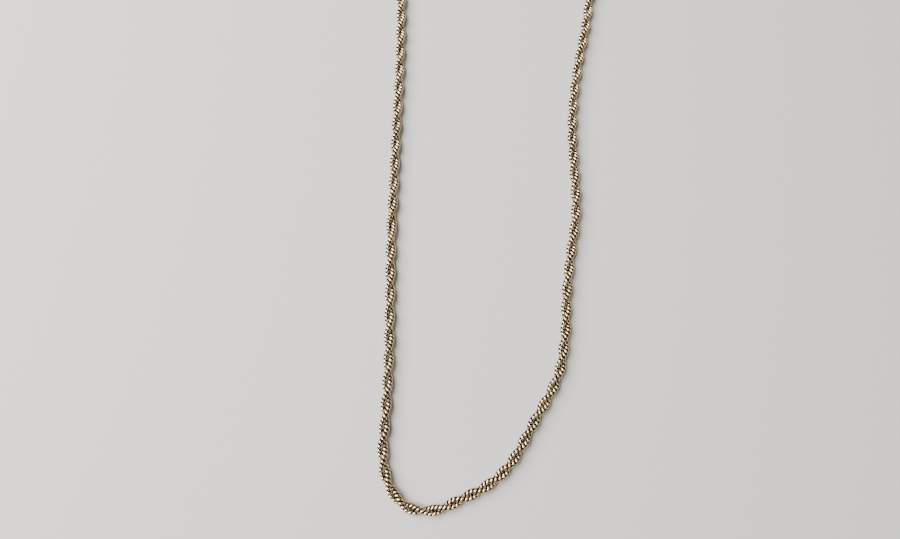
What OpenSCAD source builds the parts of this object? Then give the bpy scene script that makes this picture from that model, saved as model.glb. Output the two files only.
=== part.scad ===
// A rope chain necklace of small round links, lying open as a long U on a flat surface.
// Lengths are in millimetres. The rope's thin side and wide side turn about its middle line,
// so that from any side it shows a row of leaning lobes. Its two ends are capped, each cap has
// a soldered loop, and the clasp joins them through two small rings.

/* [Rope] */
// Width of the rope across its two strands
rope_w = 3.0; // [2.6:0.1:3.4]
// Width of the rope on its thin side
waist_w = 1.5; // [1.2:0.1:2.0]
// Usual length of one half twist
half_twist = 5.5; // [4.8:0.1:6.5]

/* [End caps] */
// Outer diameter of a cap
cap_d = 4.0; // [3.9:0.1:4.6]
// Length of a cap without its loop
cap_l = 5.0; // [4:0.1:7]
// Thickness of the closed end of a cap
cap_floor = 0.7; // [0.5:0.1:1.2]
// Rounding of the edge round the closed end
cap_round = 0.6; // [0.3:0.1:0.9]
// Width of the raised band round the mouth of a cap
band_w = 0.9; // [0.5:0.1:1.5]
// Depth of the groove beside the band
groove = 0.12; // [0.06:0.02:0.16]
// Clearance between the rope and the bore all round
cap_fit = 0.15; // [0.1:0.05:0.25]

/* [Loops and rings] */
// Radius of a soldered loop at the middle of its wire
loop_r = 1.4; // [1.3:0.05:1.6]
// Wire of a soldered loop
loop_wire = 0.6; // [0.5:0.05:0.7]
// Radius of a small ring at the middle of its wire
ring_r = 2.2; // [2.0:0.05:2.2]
// Wire of a small ring
ring_wire = 0.6; // [0.5:0.05:0.6]
// Lean of a small ring away from lying flat, in degrees
ring_lean = 50; // [44:1:54]
// Slack between a small ring and the loop that it is seated in, along their line
link_gap = 0.25; // [0.2:0.05:0.35]
// Slack between the catch ring and the hook, along their line
hook_gap = 0.45; // [0.35:0.05:0.7]
// Turn of each small ring out of the line of the clasp, in degrees
ring_turn = 14; // [8:1:18]
// Turn of each cap out of the line of the clasp, in degrees
cap_turn = 29; // [22:1:34]

/* [Clasp] */
// Length of the clasp from its loop's middle to the middle of the hook's wire
clasp_l = 10.6; // [9.6:0.1:13]
// Wire of the hook
hook_wire = 1.4; // [1.2:0.1:1.6]
// Radius of the hook at the middle of its wire
hook_r = 2.2; // [2.0:0.1:2.5]
// Thickness of the clasp's body
body_d = 3.4; // [3:0.1:3.8]
// Diameter of the lever's thumb pin
nub_d = 0.9; // [0.6:0.1:1.1]
// Length of the lever's thumb pin outside the arm
nub_l = 0.6; // [0.4:0.1:1]

/* [Hidden] */
$fn = 64;

// Colours of the polished metal
gold = "#d9be86";
gold_clasp = "#dcc28c";

LEFT = -1;
RIGHT = 1;
// Middle of the clasp, seen from above
CLASP_AT = [0.5, 112.1];

// Middle line of the rope seen from above, from the left cap down, round the bottom and up to the right cap
ROUTE = [
    [-25.5, 96.0], [-29.0, 82.0], [-29.0, 65.0], [-28.5, 47.0], [-28.0, 29.5],
    [-28.0, 11.5], [-28.5, -6.5], [-29.0, -24.5], [-29.5, -42.5], [-29.5, -60.5], [-29.5, -76.5],
    [-30.0, -90.5], [-30.5, -99.5], [-29.0, -107.0], [-24.5, -112.5], [-17.5, -113.5], [-11.0, -111.0],
    [-4.0, -107.5], [2.0, -102.0], [8.0, -92.0], [14.0, -81.5], [16.5, -71.5], [17.5, -59.5],
    [19.0, -48.0], [21.0, -36.0], [21.0, -24.0], [21.0, -10.0], [23.0, 6.0], [26.5, 22.5],
    [29.5, 42.0], [30.5, 61.0], [30.0, 79.0], [26.5, 95.0]
];

// Runs of the rope from its left end: how many half twists, and the length of each as a share of half_twist
LAY = [
    [16.5, 0.985], [11, 1.045], [1, 1.40], [5, 1.08], [9, 1.025],
    [5, 0.87], [6, 0.94], [10, 0.99], [8, 0.925], [20, 1.00]
];

// Sides of the rope's section, rings to a half twist, and steps of the middle line between two route points
SIDES = 8;
RINGS = 6;
STEPS = 12;
// Share of the whole rope that is in the left node
SPLIT = 0.5;
// Spacing of the clasp's arms at its body, as a share of the room in it
arm_share = 0.8;
// How much thinner the arms are than the hook, and their lap into it
arm_step = 0.2;
lap = 0.3;
// Straight rope in front of each cap, and the run over which the rope comes down to the surface
lead = 1.0;
settle = 20;

rope_r = rope_w / 2;
waist_r = waist_w / 2;
cap_r = cap_d / 2;
bore_r = rope_r + cap_fit;
// Height of the caps, loops, rings and clasp above the surface
axis_z = cap_r;
// Distance between the middles of two linked wires
loop_seat = (loop_wire + ring_wire) / 2 + link_gap;
hook_seat = (hook_wire + ring_wire) / 2 + hook_gap;

// A direction seen from above, on one side of the clasp and turned down by a degrees
function way(side, a) = [side * cos(a), -sin(a)];
// Where the small ring begins in the clasp
function ring_start(side) = CLASP_AT + (side == LEFT
    ? [-clasp_l / 2 - loop_r + loop_seat, 0]
    : [clasp_l / 2 - hook_seat, 0]);
function ring_mid(side) = ring_start(side) + ring_r * way(side, ring_turn);
function ring_end(side) = ring_start(side) + 2 * ring_r * way(side, ring_turn);
function cap_loop(side) = ring_end(side) + (loop_r - loop_seat) * way(side, cap_turn);
function cap_end(side) = cap_loop(side) + loop_r * way(side, cap_turn);
function on_cap(side, x) = cap_end(side) + x * way(side, cap_turn);

// Middle line of the rope from just before one cap to just before the other
PATH = concat([on_cap(LEFT, cap_l + lead)], ROUTE, [on_cap(RIGHT, cap_l + lead)]);
last = len(PATH) - 1;

// A smooth curve through p1 and p2, with p0 and p3 as their neighbours
function smooth(p0, p1, p2, p3, t) = 0.5 * (2 * p1 + (p2 - p0) * t
    + (2 * p0 - 5 * p1 + 4 * p2 - p3) * t * t
    + (3 * p1 - p0 - 3 * p2 + p3) * t * t * t);
// The line leaves each cap straight
function path_point(i) =
    i < 0 ? PATH[1] - 2 * norm(PATH[1] - PATH[0]) * way(LEFT, cap_turn)
    : i > last ? PATH[last - 1] - 2 * norm(PATH[last - 1] - PATH[last]) * way(RIGHT, cap_turn)
    : PATH[i];
LINE = concat(
    [on_cap(LEFT, cap_floor + cap_fit)],
    [for (i = [0 : last - 1], k = [0 : STEPS - 1])
        smooth(path_point(i - 1), path_point(i), path_point(i + 1), path_point(i + 2), k / STEPS)],
    [PATH[last], on_cap(RIGHT, cap_floor + cap_fit)]
);
// Length of the line up to each of its points
RUN = [for (i = 0, s = 0; i < len(LINE); s = s + norm(LINE[min(i + 1, len(LINE) - 1)] - LINE[i]), i = i + 1) s];
rope_l = RUN[len(RUN) - 1];
X_AT = [for (i = [0 : len(LINE) - 1]) [RUN[i], LINE[i][0]]];
Y_AT = [for (i = [0 : len(LINE) - 1]) [RUN[i], LINE[i][1]]];

function ease(t) = let (c = max(0, min(1, t))) c * c * (3 - 2 * c);
function from_end(s) = min(s, rope_l - s) - cap_l - lead;
function height(s) = rope_r + (axis_z - rope_r) * ease(1 - from_end(s) / settle);
function rope_point(s) = [lookup(s, X_AT), lookup(s, Y_AT), height(s)];

// Half twists up to a place on the rope
LAY_AT = [for (i = 0, s = 0, n = 0; i <= len(LAY);
    s = s + (i < len(LAY) ? LAY[i][0] * LAY[i][1] * half_twist : 0),
    n = n + (i < len(LAY) ? LAY[i][0] : 0),
    i = i + 1) [s, n]];
function lean_at(s) = 180 * lookup(s, LAY_AT);

// Distance of the rope's surface from its middle, at an angle from its wide side
function reach(a) = sqrt(pow(rope_r * cos(a), 2) + pow(waist_r * sin(a), 2));

// One ring of points round the rope
function rope_ring(s) =
    let (
        step = 0.5,
        a = rope_point(max(0, s - step)),
        b = rope_point(min(rope_l, s + step)),
        along = (b - a) / norm(b - a),
        across = cross([0, 0, 1], along) / norm(cross([0, 0, 1], along)),
        up = cross(along, across),
        mid = rope_point(s)
    )
    [for (j = [0 : SIDES - 1])
        let (a = 360 * j / SIDES, turn = lean_at(s) + a)
        mid + reach(a) * (cos(turn) * across + sin(turn) * up)];

// A closed skin over a row of rings
module skin(rings) {
    n = len(rings);
    m = len(rings[0]);
    points = [for (ring = rings, p = ring) p];
    walls = [for (i = [0 : n - 2], j = [0 : m - 1])
        let (k = (j + 1) % m, a = i * m + j, b = i * m + k, c = (i + 1) * m + k, d = (i + 1) * m + j)
        each [[a, c, b], [a, d, c]]];
    first = [for (j = [0 : m - 1]) j];
    final = [for (j = [m - 1 : -1 : 0]) (n - 1) * m + j];
    polyhedron(points = points, faces = concat(walls, [first], [final]));
}

// The rope between two places on its length
module rope(from, to) {
    count = round((to - from) / half_twist * RINGS);
    color(gold)
        skin([for (i = [0 : count]) rope_ring(from + (to - from) * i / count)]);
}

module rope_left() {
    rope(0, rope_l * SPLIT);
}

module rope_right() {
    rope(rope_l * SPLIT, rope_l);
}

// A ring of round wire in the level plane
module wire_ring(radius, wire) {
    rotate_extrude()
        translate([radius, 0])
            circle(d = wire);
}

// A cap with its closed end at the origin and its mouth along +X, and its loop behind the closed end
module end_cap() {
    color(gold) {
        difference() {
            rotate([0, 90, 0])
                rotate_extrude()
                    difference() {
                        union() {
                            translate([0, cap_round])
                                square([cap_r, cap_l - cap_round]);
                            square([cap_r - cap_round, cap_l]);
                            translate([cap_r - cap_round, cap_round])
                                circle(r = cap_round);
                        }
                        translate([-cap_r, -cap_l])
                            square([cap_r, 3 * cap_l]);
                        translate([cap_r - groove, cap_l - band_w - 2 * groove])
                            square([cap_r, 2 * groove]);
                    }
            translate([cap_floor, 0, 0])
                rotate([0, 90, 0])
                    cylinder(r = bore_r, h = cap_l);
        }
        difference() {
            translate([-loop_r, 0, 0])
                wire_ring(loop_r, loop_wire);
            translate([cap_floor / 2, -cap_l, -cap_l])
                cube(2 * cap_l);
        }
    }
}

module placed_cap(side) {
    translate([cap_end(side)[0], cap_end(side)[1], axis_z])
        rotate([0, 0, side == LEFT ? 180 + cap_turn : -cap_turn])
            end_cap();
}

module end_cap_left() {
    placed_cap(LEFT);
}

module end_cap_right() {
    placed_cap(RIGHT);
}

module small_ring(side) {
    color(gold)
        translate([ring_mid(side)[0], ring_mid(side)[1], axis_z])
            rotate([0, 0, -side * ring_turn])
                rotate([ring_lean, 0, 0])
                    wire_ring(ring_r, ring_wire);
}

module clasp_ring() {
    small_ring(LEFT);
}

module catch_ring() {
    small_ring(RIGHT);
}

// The clasp in one piece, with its loop to the left and its hook to the right
module clasp() {
    loop_x = -clasp_l / 2;
    hook_x = clasp_l / 2 - hook_r;
    body_x = loop_x + loop_r + body_d / 2;
    // The two arms run from the body and meet the hook's arc along its tangents
    arm_d = hook_wire - arm_step;
    arm_y = (body_d - arm_d) * arm_share / 2;
    reach_l = norm([hook_x - body_x, arm_y]);
    spread = asin(hook_r / reach_l) - atan2(arm_y, hook_x - body_x);
    arm_l = sqrt(pow(reach_l, 2) - pow(hook_r, 2));
    nub_x = body_x + body_d / 2 + nub_d / 2;
    nub_y = arm_y + (nub_x - body_x) * tan(spread);
    color(gold_clasp)
        translate([CLASP_AT[0], CLASP_AT[1], axis_z]) {
            translate([loop_x, 0, 0])
                wire_ring(loop_r, loop_wire);
            translate([body_x, 0, 0])
                sphere(d = body_d);
            for (side = [LEFT, RIGHT])
                translate([body_x, side * arm_y, 0])
                    rotate([0, 90, side * spread])
                        cylinder(d = arm_d, h = arm_l + lap);
            translate([hook_x, 0, 0])
                rotate([0, 0, -90 - spread])
                    rotate_extrude(angle = 180 + 2 * spread)
                        translate([hook_r, 0])
                            circle(d = hook_wire);
            translate([nub_x, nub_y, 0])
                rotate([-90, 0, 0])
                    cylinder(d = nub_d, h = arm_d / 2 + nub_l);
        }
}

rope_left();
rope_right();
end_cap_left();
end_cap_right();
clasp_ring();
catch_ring();
clasp();
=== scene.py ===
import math

import bpy
import numpy as np
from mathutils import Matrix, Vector
from mathutils.bvhtree import BVHTree


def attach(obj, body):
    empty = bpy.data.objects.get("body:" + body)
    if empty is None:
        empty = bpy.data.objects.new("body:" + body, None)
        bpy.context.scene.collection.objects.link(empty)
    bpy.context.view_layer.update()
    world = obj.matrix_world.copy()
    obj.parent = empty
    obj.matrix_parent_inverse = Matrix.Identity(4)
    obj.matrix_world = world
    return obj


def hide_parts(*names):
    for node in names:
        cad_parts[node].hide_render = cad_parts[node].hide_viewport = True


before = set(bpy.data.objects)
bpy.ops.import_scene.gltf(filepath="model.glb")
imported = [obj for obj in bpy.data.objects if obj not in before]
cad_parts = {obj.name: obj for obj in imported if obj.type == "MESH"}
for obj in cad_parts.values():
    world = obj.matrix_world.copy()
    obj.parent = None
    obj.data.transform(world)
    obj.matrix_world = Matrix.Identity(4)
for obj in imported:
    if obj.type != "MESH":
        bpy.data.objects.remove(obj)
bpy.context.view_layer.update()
scene = bpy.context.scene

# The camera stands above the lower half of the necklace and looks almost straight down,
# a little towards the clasp, which lies just outside the top of its view.
CAMERA_AT = (-0.0135, -0.0910, 0.1715)
CAMERA_TILT = 12.8
CAMERA_LENS = 26
CAMERA_SENSOR = 36
CAMERA_NEAREST = 0.01
camera_data = bpy.data.cameras.new("camera")
camera_data.sensor_width = CAMERA_SENSOR
camera_data.lens = CAMERA_LENS
camera_data.clip_start = CAMERA_NEAREST
camera = bpy.data.objects.new("camera", camera_data)
camera.location = CAMERA_AT
camera.rotation_euler = (math.radians(CAMERA_TILT), 0, 0)
scene.collection.objects.link(camera)
scene.camera = camera


# The line of the rope: it comes straight out of the left cap, runs down, round the bottom
# and up to the right cap. Its lay turns through half twists of uneven length, as a worn
# chain's does. Lengths here are in millimetres, and MM turns them into the scene's metres.
MM = 0.001
# The rope's radius, and the height of its middle in the caps
ROPE_R = 1.5
AXIS_Z = 2.0
# The caps: their length, the degrees that they point down, and where their bore ends
CAP_L = 5.0
CAP_TURN = 29
BORE_END = 0.85
# The rope leaves a cap straight for LEAD, and comes down to the surface over SETTLE
LEAD = 1.0
SETTLE = 20
HALF_TWIST = 5.5
# The clasp between the caps, the rings that hold it, and the cap's soldered loops
CLASP_AT = np.array([0.5, 112.1])
CLASP_L = 10.6
RING_R = 2.2
RING_TURN = 14
LOOP_R = 1.4
LOOP_SEAT = 0.85
HOOK_SEAT = 1.45
LEFT = -1
RIGHT = 1
# Points that the rope passes through, x and y, and the steps from one to the next
STEPS = 12
ROUTE = [
    (-25.5, 96.0), (-29.0, 82.0), (-29.0, 65.0), (-28.5, 47.0), (-28.0, 29.5),
    (-28.0, 11.5), (-28.5, -6.5), (-29.0, -24.5), (-29.5, -42.5), (-29.5, -60.5), (-29.5, -76.5),
    (-30.0, -90.5), (-30.5, -99.5), (-29.0, -107.0), (-24.5, -112.5), (-17.5, -113.5), (-11.0, -111.0),
    (-4.0, -107.5), (2.0, -102.0), (8.0, -92.0), (14.0, -81.5), (16.5, -71.5), (17.5, -59.5),
    (19.0, -48.0), (21.0, -36.0), (21.0, -24.0), (21.0, -10.0), (23.0, 6.0), (26.5, 22.5),
    (29.5, 42.0), (30.5, 61.0), (30.0, 79.0), (26.5, 95.0),
]
# How many half twists, and the length of each as a share of the usual one
LAY = [
    (16.5, 0.985), (11, 1.045), (1, 1.40), (5, 1.08), (9, 1.025),
    (5, 0.87), (6, 0.94), (10, 0.99), (8, 0.925), (20, 1.00),
]


def way(side, degrees):
    """The direction out to one side and down by some degrees."""
    turn = math.radians(degrees)
    return np.array([side * math.cos(turn), -math.sin(turn)])


def on_cap(side, x):
    """A point on the middle line of a cap, x from its closed end."""
    start = -CLASP_L / 2 - LOOP_R + LOOP_SEAT if side == LEFT else CLASP_L / 2 - HOOK_SEAT
    ring_end = CLASP_AT + np.array([start, 0]) + 2 * RING_R * way(side, RING_TURN)
    return ring_end + (2 * LOOP_R - LOOP_SEAT + x) * way(side, CAP_TURN)


def rope_line():
    """The rope's middle line seen from above: a smooth curve through the points of the route."""
    path = [on_cap(LEFT, CAP_L + LEAD), *[np.array(p) for p in ROUTE], on_cap(RIGHT, CAP_L + LEAD)]
    before = path[1] - 2 * np.linalg.norm(path[1] - path[0]) * way(LEFT, CAP_TURN)
    after = path[-2] - 2 * np.linalg.norm(path[-2] - path[-1]) * way(RIGHT, CAP_TURN)
    whole = [before, *path, after]
    line = [on_cap(LEFT, BORE_END)]
    for p0, p1, p2, p3 in zip(whole, whole[1:], whole[2:], whole[3:]):
        for k in range(STEPS):
            t = k / STEPS
            line.append(0.5 * (2 * p1 + (p2 - p0) * t + (2 * p0 - 5 * p1 + 4 * p2 - p3) * t**2
                               + (3 * p1 - p0 - 3 * p2 + p3) * t**3))
    return np.array([*line, path[-1], on_cap(RIGHT, BORE_END)])


line = rope_line()
run = np.concatenate([[0], np.cumsum(np.linalg.norm(np.diff(line, axis=0), axis=1))])
rope_l = run[-1]
lay_run = np.concatenate([[0], np.cumsum([n * share * HALF_TWIST for n, share in LAY])])
lay_turns = np.concatenate([[0], np.cumsum([n for n, share in LAY])])


def rope_point(s):
    """Middle of the rope at the lengths s along it. It comes down from the caps to lie on the surface."""
    from_end = np.minimum(s, rope_l - s) - CAP_L - LEAD
    t = np.clip(1 - from_end / SETTLE, 0, 1)
    z = ROPE_R + (AXIS_Z - ROPE_R) * t * t * (3 - 2 * t)
    return np.stack([np.interp(s, run, line[:, 0]), np.interp(s, run, line[:, 1]), z], axis=-1)


def rope_frame(s):
    """The directions along the rope, across it and up, at the lengths s."""
    reach = 0.5
    along = rope_point(np.minimum(s + reach, rope_l)) - rope_point(np.maximum(s - reach, 0))
    along /= np.linalg.norm(along, axis=1)[:, None]
    across = np.cross([0, 0, 1], along)
    across /= np.linalg.norm(across, axis=1)[:, None]
    return along, across, np.cross(along, across)


# The polished gold of every piece: bright and pale where it is worn, with hairline scratches of wear and a
# soft film of random tone. The rope is painted browner in its gaps as painted shade. It is solid metal, so
# nothing is coated.
FILM_SCALE = 700
FILM_DETAIL = 3
# The part of the film's pattern over which clean metal goes over into filmed metal
FILM_FROM = 0.35
FILM_TO = 0.65
FILM_CLEAN = 1.0
FILM_DULL = 0.55
HAIRLINE_SCALE = 900
HAIRLINE_DETAIL = 4
HAIRLINE_TURN = (0.5, 0.3, 0.9)
HAIRLINE_STRETCH = (1, 14, 14)
HAIRLINE_DEEP = 0.00001


def shader_node(nodes, kind, values=(), operation=None):
    """A new shader node, with its operation and its own values."""
    made = nodes.new(kind)
    if operation:
        made.operation = operation
    for name, value in dict(values).items():
        made.inputs[name].default_value = value
    return made


def worn_polish():
    """The shader node group for wear: hairline scratches, and a soft film that dulls and tints."""
    group = bpy.data.node_groups.new("worn_polish", "ShaderNodeTree")
    for name, value in (("Scale", 1.0), ("Polish", 0.16), ("Spread", 0.1), ("Depth", 0.1)):
        socket = group.interface.new_socket(name, in_out="INPUT", socket_type="NodeSocketFloat")
        socket.default_value = value
    for name, kind in (("Roughness", "Float"), ("Normal", "Vector"), ("Clean", "Float")):
        group.interface.new_socket(name, in_out="OUTPUT", socket_type="NodeSocket" + kind)
    nodes, links = group.nodes, group.links
    given = nodes.new("NodeGroupInput")
    out = nodes.new("NodeGroupOutput")
    where = nodes.new("ShaderNodeTexCoord")
    sized = shader_node(nodes, "ShaderNodeVectorMath", operation="SCALE")
    links.new(where.outputs["Object"], sized.inputs[0])
    links.new(given.outputs["Scale"], sized.inputs["Scale"])
    film = shader_node(nodes, "ShaderNodeTexNoise", {"Scale": FILM_SCALE, "Detail": FILM_DETAIL})
    stretched = shader_node(nodes, "ShaderNodeMapping", {"Rotation": HAIRLINE_TURN, "Scale": HAIRLINE_STRETCH})
    hairlines = shader_node(nodes, "ShaderNodeTexNoise", {"Scale": HAIRLINE_SCALE, "Detail": HAIRLINE_DETAIL})
    links.new(sized.outputs[0], film.inputs["Vector"])
    links.new(sized.outputs[0], stretched.inputs["Vector"])
    links.new(stretched.outputs[0], hairlines.inputs["Vector"])
    both = shader_node(nodes, "ShaderNodeMath", operation="MULTIPLY")
    links.new(film.outputs["Fac"], both.inputs[0])
    links.new(hairlines.outputs["Fac"], both.inputs[1])
    rough = shader_node(nodes, "ShaderNodeMath", operation="MULTIPLY_ADD")
    links.new(both.outputs[0], rough.inputs[0])
    links.new(given.outputs["Spread"], rough.inputs[1])
    links.new(given.outputs["Polish"], rough.inputs[2])
    bump = shader_node(nodes, "ShaderNodeBump", {"Distance": HAIRLINE_DEEP})
    links.new(given.outputs["Depth"], bump.inputs["Strength"])
    links.new(hairlines.outputs["Fac"], bump.inputs["Height"])
    clean = shader_node(nodes, "ShaderNodeMapRange", {
        "From Min": FILM_FROM, "From Max": FILM_TO, "To Min": FILM_CLEAN, "To Max": FILM_DULL,
    })
    links.new(film.outputs["Fac"], clean.inputs["Value"])
    links.new(rough.outputs[0], out.inputs["Roughness"])
    links.new(bump.outputs["Normal"], out.inputs["Normal"])
    links.new(clean.outputs["Result"], out.inputs["Clean"])
    return group


def gold(name, bright, film_and_painted_shade, polish, spread, depth):
    """Solid gold, with its worn bright colour and a darker one: the film of the fittings, and the painted
    shade in the hollows of the rope.
    """
    material = bpy.data.materials.new(name)
    material.use_nodes = True
    nodes, links = material.node_tree.nodes, material.node_tree.links
    metal = nodes["Principled BSDF"]
    metal.inputs["Metallic"].default_value = 1
    wear = nodes.new("ShaderNodeGroup")
    wear.node_tree = polish_group
    wear.inputs["Polish"].default_value = polish
    wear.inputs["Spread"].default_value = spread
    wear.inputs["Depth"].default_value = depth
    links.new(wear.outputs["Roughness"], metal.inputs["Roughness"])
    links.new(wear.outputs["Normal"], metal.inputs["Normal"])
    colour = nodes.new("ShaderNodeMix")
    colour.data_type = "RGBA"
    colour.name = "colour"
    # The darker colour is a real film where the film mask sets it, and painted shade where the rope's openness
    # sets it
    colour.inputs["A"].default_value = (*film_and_painted_shade, 1)
    colour.inputs["B"].default_value = (*bright, 1)
    links.new(wear.outputs["Clean"], colour.inputs["Factor"])
    links.new(colour.outputs["Result"], metal.inputs["Base Color"])
    return material


polish_group = worn_polish()

# The rope is made of 603 small links of round gold wire, each bent almost shut and twisted, so that
# its sides lie slantwise. Each one hooks through the next two, a little further round, which makes two
# strands that wind about each other. Light cuts along the finished rope leave small bright flats.
WIRE_R = 0.30
# From the middle of a link to the middle of its wire, across the rope and along it
LINK_R = 1.175
LINK_TALL = 1.05
# How much narrower a link is at its ends, its twist for each millimetre, and half its opening
LINK_POINT = 0.45
LINK_TWIST = math.radians(-38)
LINK_OPENING = math.radians(42)
# From one link to the next, and from the end of the rope to the first
LINK_STEP = 0.80
FIRST_LINK = 1.4
LINK_POINTS = 30
WIRE_SIDES = 12
# The tumbled ends of the wire: how far they reach, and their share of its thickness
END_REACH = 0.06
END_SHARE = 0.7
# The flats: how far they are from the rope's middle, how many lie round it, and
# how far they swing to and fro about it, each swing with the length that it goes with
CUT_R = 1.41
CUTS = 4
CUT_SWINGS = ((0.9, 23), (0.5, 9.1))
# The rays that tell how open a link's surface is, among so many neighbours before and after it
OPEN_NEIGHBOURS = 6
OPEN_RAYS = 48
OPEN_REACH = 3.0
OPEN_START = 0.02
# The links' own worn bright colour and the dark colour of painted shade in their hollows, and how open a
# surface is where the painted shade starts to give way and where it is gone
ROPE_BRIGHT = (0.82, 0.64, 0.39)
ROPE_PAINTED_SHADE = (0.05, 0.018, 0.008)
SHADE_FADE_FROM = 0.46
SHADE_FADE_TO = 0.98
DULLEST_LINK = 0.72
TONE_SEED = 7


def link_form():
    """One link's surface: rings of points round its wire, along its wide side, the rope and its depth."""
    angle = np.linspace(math.pi / 2 + LINK_OPENING, 2.5 * math.pi - LINK_OPENING, LINK_POINTS)
    wide, along = np.cos(angle), np.sin(angle)
    # A link narrows towards its ends and is twisted along the rope
    reach = LINK_R * wide * (1 - LINK_POINT * along**2)
    twist = LINK_TWIST * LINK_TALL * along
    middle = np.stack([reach * np.cos(twist), LINK_TALL * along, reach * np.sin(twist)], axis=1)
    tangent = np.gradient(middle, axis=0)
    tangent /= np.linalg.norm(tangent, axis=1)[:, None]
    outward = np.stack([wide, along, 0 * wide], axis=1)
    outward -= (outward * tangent).sum(1)[:, None] * tangent
    outward /= np.linalg.norm(outward, axis=1)[:, None]
    # The ends of the wire are tumbled round
    first_end = middle[0] - END_REACH * tangent[0]
    last_end = middle[-1] + END_REACH * tangent[-1]
    middle = np.concatenate([[first_end], middle, [last_end]])
    thick = np.concatenate([[END_SHARE], np.ones(LINK_POINTS), [END_SHARE]])
    tangent = np.concatenate([tangent[:1], tangent, tangent[-1:]])
    outward = np.concatenate([outward[:1], outward, outward[-1:]])
    sideways = np.cross(tangent, outward)
    turn = np.linspace(0, 2 * math.pi, WIRE_SIDES, endpoint=False)
    round_wire = (np.cos(turn)[None, :, None] * outward[:, None]
                  + np.sin(turn)[None, :, None] * sideways[:, None])
    return middle[:, None] + WIRE_R * thick[:, None, None] * round_wire


def link_walls(form, count):
    """The point numbers, and the faces round and at the ends of the wire, of several links in a row."""
    at = np.arange(count * form.shape[0] * form.shape[1]).reshape(count, *form.shape[:2])
    nxt = np.roll(at, -1, axis=2)
    walls = np.stack([at[:, :-1], nxt[:, :-1], nxt[:, 1:], at[:, 1:]], axis=-1).reshape(-1, 4)
    return at, nxt, [*walls.tolist(), *at[:, 0, ::-1].tolist(), *at[:, -1].tolist()]


def openness(form):
    """How open each point of a link is to the light, among its neighbours: 0 shut in, 1 free."""
    turn = math.pi / HALF_TWIST * LINK_STEP
    near = []
    for k in range(-OPEN_NEIGHBOURS, OPEN_NEIGHBOURS + 1):
        c, s = math.cos(k * turn), math.sin(k * turn)
        near.append(np.stack([c * form[..., 0] - s * form[..., 2], form[..., 1] + k * LINK_STEP,
                              s * form[..., 0] + c * form[..., 2]], axis=-1))
    tree = BVHTree.FromPolygons(np.concatenate(near).reshape(-1, 3).tolist(), link_walls(form, len(near))[2])
    normal = form - form.mean(axis=1, keepdims=True)
    normal /= np.linalg.norm(normal, axis=-1)[..., None]
    result = np.zeros(form.shape[:2])
    golden = math.pi * (3 - math.sqrt(5))
    for row in range(form.shape[0]):
        for side in range(form.shape[1]):
            n = Vector(normal[row, side])
            start = Vector(form[row, side]) + OPEN_START * n
            u = n.orthogonal().normalized()
            v = n.cross(u)
            for ray in range(OPEN_RAYS):
                high = math.sqrt(1 - (ray + 0.5) / OPEN_RAYS)
                flat = math.sqrt(1 - high * high)
                way_out = n * high + (u * math.cos(ray * golden) + v * math.sin(ray * golden)) * flat
                if tree.ray_cast(start, way_out, OPEN_REACH)[0] is None:
                    result[row, side] += 1 / OPEN_RAYS
    return result


def cut_edges(mesh, at, nxt, cut_by):
    """Keeps the edge of each flat crisp. cut_by tells which flat, from 1 on, each point lies in."""
    cut_next = np.roll(cut_by, -1, axis=2)
    face = np.where((cut_by[:, :-1] == cut_by[:, 1:]) & (cut_by[:, :-1] == cut_next[:, :-1])
                    & (cut_by[:, :-1] == cut_next[:, 1:]), cut_by[:, :-1], 0)
    lengthwise = face != np.roll(face, 1, axis=2)
    round_about = face[:, 1:] != face[:, :-1]
    a = np.concatenate([at[:, :-1][lengthwise], at[:, 1:-1][round_about]])
    b = np.concatenate([at[:, 1:][lengthwise], nxt[:, 1:-1][round_about]])
    sharp_keys = np.minimum(a, b).astype(np.int64) * at.size + np.maximum(a, b)
    pairs = np.zeros(len(mesh.edges) * 2, np.int32)
    mesh.edges.foreach_get("vertices", pairs)
    pairs = pairs.reshape(-1, 2).astype(np.int64)
    keys = pairs.min(1) * at.size + pairs.max(1)
    sharp = mesh.attributes.new("sharp_edge", "BOOLEAN", "EDGE")
    sharp.data.foreach_set("value", np.isin(keys, sharp_keys))


def point_mask(mesh, name, values):
    """Gives each point of the mesh a number that its material reads."""
    mask = mesh.attributes.new(name, "FLOAT", "POINT")
    mask.data.foreach_set("value", values.astype(np.float32))


def rope_links(name, node, first, last, chance):
    """The links first to last of the whole rope, as one mesh in place of a rope node."""
    rows, sides = form.shape[:2]
    s = FIRST_LINK + LINK_STEP * np.arange(first, last)
    count = len(s)
    along, across, up = rope_frame(s)
    lean = math.pi * np.interp(s, lay_run, lay_turns)
    wide = np.cos(lean)[:, None] * across + np.sin(lean)[:, None] * up
    depth = np.cross(along, wide)
    offset = form[None, ..., 0, None] * wide[:, None, None] + form[None, ..., 2, None] * depth[:, None, None]
    # Flats run along the finished rope and turn slowly with it
    cut_by = np.zeros((count, rows, sides), int)
    for j in range(CUTS):
        facing = 2 * math.pi * j / CUTS
        for swing, span in CUT_SWINGS:
            facing = facing + swing * np.sin(s / span)
        normal = np.cos(facing)[:, None] * across + np.sin(facing)[:, None] * up
        over = (offset * normal[:, None, None]).sum(-1) - CUT_R
        offset -= np.maximum(over, 0)[..., None] * normal[:, None, None]
        cut_by[over > 0] = j + 1
    points = rope_point(s)[:, None, None] + form[None, ..., 1, None] * along[:, None, None] + offset
    at, nxt, faces = link_walls(form, count)
    mesh = bpy.data.meshes.new(name)
    mesh.from_pydata((points * MM).reshape(-1, 3), [], faces)
    mesh.update(calc_edges=True)
    mesh.shade_smooth()
    cut_edges(mesh, at, nxt, cut_by)
    # The openness of each point, which the material turns into painted shade in the gaps
    point_mask(mesh, "open", np.tile(link_open.ravel(), count))
    point_mask(mesh, "tone", np.repeat(chance.uniform(0, 1, count), rows * sides))
    mesh.materials.append(rope_gold)
    rope = bpy.data.objects.new(name, mesh)
    scene.collection.objects.link(rope)
    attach(rope, "root")
    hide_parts(node)


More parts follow.
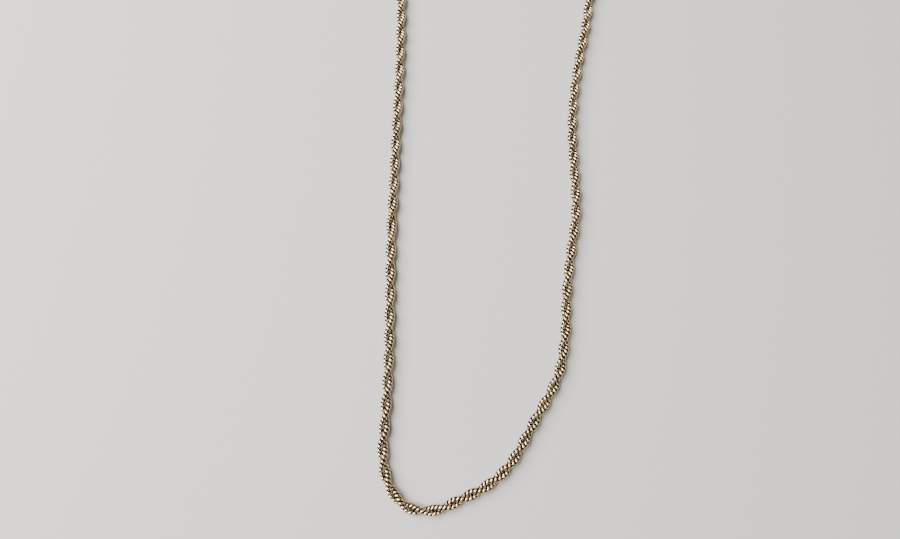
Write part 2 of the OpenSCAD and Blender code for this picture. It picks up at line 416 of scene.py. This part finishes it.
form = link_form()
link_open = openness(form)
rope_gold = gold("rope_gold", ROPE_BRIGHT, ROPE_PAINTED_SHADE, polish=0.14, spread=0.22, depth=0.25)
# Painted shade: the rope's colour goes to its painted shade colour where a point is shut in among its
# neighbours, and to its bright colour where it is open
nodes, links = rope_gold.node_tree.nodes, rope_gold.node_tree.links
open_mask = nodes.new("ShaderNodeAttribute")
open_mask.attribute_name = "open"
tone_mask = nodes.new("ShaderNodeAttribute")
tone_mask.attribute_name = "tone"
lit_where_open = shader_node(nodes, "ShaderNodeMapRange", {"From Min": SHADE_FADE_FROM, "From Max": SHADE_FADE_TO})
lit_where_open.interpolation_type = "SMOOTHSTEP"
links.new(open_mask.outputs["Fac"], lit_where_open.inputs["Value"])
# Some links have kept a little more of their dull film
dulled = shader_node(nodes, "ShaderNodeMapRange", {"To Min": DULLEST_LINK})
links.new(tone_mask.outputs["Fac"], dulled.inputs["Value"])
both = shader_node(nodes, "ShaderNodeMath", operation="MULTIPLY")
links.new(lit_where_open.outputs["Result"], both.inputs[0])
links.new(dulled.outputs["Result"], both.inputs[1])
links.new(both.outputs[0], nodes["colour"].inputs["Factor"])

link_count = int((rope_l - 2 * FIRST_LINK) / LINK_STEP) + 1
middle_link = int((rope_l / 2 - FIRST_LINK) / LINK_STEP) + 1
chance = np.random.default_rng(TONE_SEED)
for name, node, first, last in (
    ("rope_left_upper", "rope_left", 0, middle_link // 2),
    ("rope_left_lower", "rope_left", middle_link // 2, middle_link),
    ("rope_right_lower", "rope_right", middle_link, (middle_link + link_count) // 2),
    ("rope_right_upper", "rope_right", (middle_link + link_count) // 2, link_count),
):
    rope_links(name, node, first, last, chance)

# The caps with their soldered loops, the two small rings and the clasp are turned and drawn gold,
# plainer than the rope. Each cap is soldered over the end of the rope, and the rings join the caps
# to the clasp.
FITTING_BRIGHT = (0.88, 0.68, 0.40)
FITTING_FILM = (0.50, 0.32, 0.15)
fitting_gold = gold("fitting_gold", FITTING_BRIGHT, FITTING_FILM, polish=0.10, spread=0.30, depth=0.22)
for node in ("end_cap_left", "end_cap_right", "clasp_ring", "catch_ring", "clasp"):
    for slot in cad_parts[node].material_slots:
        slot.material = fitting_gold

# The floor is a plain pale studio sheet of matt paper, two metres square, with the necklace
# lying on its middle.
FLOOR = 1.0
FLOOR_COLOUR = (0.48, 0.47, 0.455, 1)
FLOOR_MATT = 0.85
floor_mesh = bpy.data.meshes.new("floor")
corners = [(-FLOOR, -FLOOR, 0), (FLOOR, -FLOOR, 0), (FLOOR, FLOOR, 0), (-FLOOR, FLOOR, 0)]
floor_mesh.from_pydata(corners, [], [(0, 1, 2, 3)])
floor = bpy.data.objects.new("floor", floor_mesh)
scene.collection.objects.link(floor)
floor_paper = bpy.data.materials.new("floor_paper")
floor_paper.use_nodes = True
paper = floor_paper.node_tree.nodes["Principled BSDF"]
paper.inputs["Base Color"].default_value = FLOOR_COLOUR
paper.inputs["Roughness"].default_value = FLOOR_MATT
floor_mesh.materials.append(floor_paper)

# Soft studio light: one large soft box from the upper left, a weak one from the right, and a
# dim room. The camera sees a pale wall behind the floor, while the gold reflects the dim room.
ROOM_COLOUR = (0.80, 0.80, 0.79, 1)
ROOM_DIM = 0.10
ROOM_SEEN = 1.10


def soft_box(name, at, size, watts, tint):
    """A square lamp that faces the middle of the necklace."""
    data = bpy.data.lights.new(name, "AREA")
    data.shape = "SQUARE"
    data.size = size
    data.energy = watts
    data.color = tint
    lamp = bpy.data.objects.new(name, data)
    lamp.location = at
    lamp.rotation_euler = (-Vector(at)).to_track_quat("-Z", "Y").to_euler()
    scene.collection.objects.link(lamp)


soft_box("key", at=(-0.50, 0.05, 0.60), size=0.8, watts=30.0, tint=(1.0, 0.98, 0.95))
soft_box("fill", at=(0.60, -0.10, 0.35), size=0.35, watts=1.0, tint=(1.0, 0.95, 0.90))
room = bpy.data.worlds.new("room")
room.use_nodes = True
nodes, links = room.node_tree.nodes, room.node_tree.links
nodes["Background"].inputs["Color"].default_value = ROOM_COLOUR
seen = nodes.new("ShaderNodeLightPath")
level = shader_node(nodes, "ShaderNodeMapRange", {"To Min": ROOM_DIM, "To Max": ROOM_SEEN})
links.new(seen.outputs["Is Camera Ray"], level.inputs["Value"])
links.new(level.outputs["Result"], nodes["Background"].inputs["Strength"])
scene.world = room
